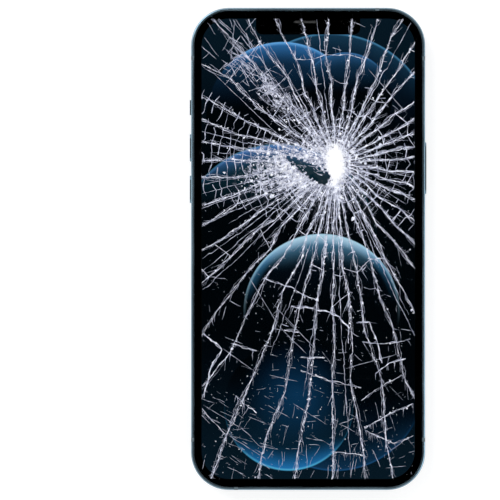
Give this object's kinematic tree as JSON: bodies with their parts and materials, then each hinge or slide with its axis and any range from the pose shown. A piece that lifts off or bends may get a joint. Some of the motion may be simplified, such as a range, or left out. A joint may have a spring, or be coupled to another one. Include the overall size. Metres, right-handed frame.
{
  "type": "smartphone with a shattered screen",
  "caption": "Large flat-sided smartphone lying face up, its front glass shattered from an impact above the middle, with press buttons, a mute lever and a card tray that slides out.",
  "frame": {"origin": "under the middle of the phone, level with the lens trims it rests on", "axes": "+Z out of the screen, +Y towards the earpiece end, +X to the right as the screen is read"},
  "size_m": [0.079, 0.1608, 0.01],
  "materials": {
    "cracked_glass": "clear glass shattered into shards",
    "display": "lit display, dark blue with pale discs",
    "dark_steel": "dark sheet steel",
    "black_plastic": "black moulded plastic",
    "gasket_rubber": "soft black adhesive foam",
    "flex_board": "amber flexible circuit",
    "polished_steel": "polished blue-grey coated steel",
    "band_plastic": "dark blue-grey plastic",
    "rear_glass": "satin etched blue glass, polished on the plateau",
    "trim_steel": "polished pale blue steel",
    "lens_glass": "dark coated glass",
    "flash_plastic": "cream diffuser",
    "sensor_plastic": "dark infrared window",
    "gold_can": "gold-plated part",
    "magnet_metal": "plated magnets",
    "coil_copper": "wound copper",
    "battery_film": "black laminate pouch",
    "circuit_board": "dark green circuit board",
    "can_steel": "bright sheet steel"
  },
  "bodies": {
    "phone": {"cover_glass": "cracked_glass", "display_panel": "display", "display_shield": "dark_steel", "display_bezel": "black_plastic", "display_gasket": "gasket_rubber", "display_cables": "flex_board", "earpiece_mesh": "dark_steel", "earpiece_speaker": "black_plastic", "front_camera": "black_plastic", "face_sensors": "black_plastic", "side_frame": "polished_steel", "antenna_bands": "band_plastic", "back_glass": "rear_glass", "wide_lens_trim": "trim_steel", "ultrawide_lens_trim": "trim_steel", "telephoto_lens_trim": "trim_steel", "wide_lens_cover": "lens_glass", "ultrawide_lens_cover": "lens_glass", "telephoto_lens_cover": "lens_glass", "wide_camera": "black_plastic", "ultrawide_camera": "black_plastic", "telephoto_camera": "black_plastic", "camera_bracket": "dark_steel", "flash_lens": "flash_plastic", "flash_module": "flash_plastic", "depth_sensor_window": "sensor_plastic", "depth_sensor": "black_plastic", "rear_microphone": "gold_can", "magnet_ring": "magnet_metal", "charging_coil": "coil_copper", "coil_shield": "black_plastic", "battery": "battery_film", "logic_board": "circuit_board", "board_chips": "black_plastic", "board_shields": "can_steel", "housing_screws": "can_steel", "haptic_motor": "can_steel", "loudspeaker": "black_plastic", "loudspeaker_mesh": "dark_steel", "bottom_microphone": "gold_can", "microphone_mesh": "dark_steel", "charge_port": "black_plastic", "charge_flex": "flex_board", "bottom_screws": "dark_steel", "power_switch": "gold_can", "volume_switches": "gold_can", "mute_switch": "black_plastic", "sim_reader": "can_steel"},
    "power_button": {"power_button": "polished_steel"},
    "volume_up": {"volume_up_button": "polished_steel"},
    "volume_down": {"volume_down_button": "polished_steel"},
    "mute_lever": {"mute_lever": "polished_steel"},
    "card_tray": {"sim_tray": "polished_steel"}
  },
  "joints": [
    {"name": "power_press", "type": "slide", "parent": "phone", "child": "power_button", "axis": [-1, 0, 0], "range_m": [0, 0.0003], "stiffness_N_per_m": 500},
    {"name": "volume_up_press", "type": "slide", "parent": "phone", "child": "volume_up", "axis": [1, 0, 0], "range_m": [0, 0.0003], "stiffness_N_per_m": 500},
    {"name": "volume_down_press", "type": "slide", "parent": "phone", "child": "volume_down", "axis": [1, 0, 0], "range_m": [0, 0.0003], "stiffness_N_per_m": 500},
    {"name": "mute_slide", "type": "slide", "parent": "phone", "child": "mute_lever", "axis": [0, 0, -1], "range_m": [0, 0.0012]},
    {"name": "tray_slide", "type": "slide", "parent": "phone", "child": "card_tray", "axis": [-1, 0, 0], "range_m": [0, 0.02]}
  ]
}
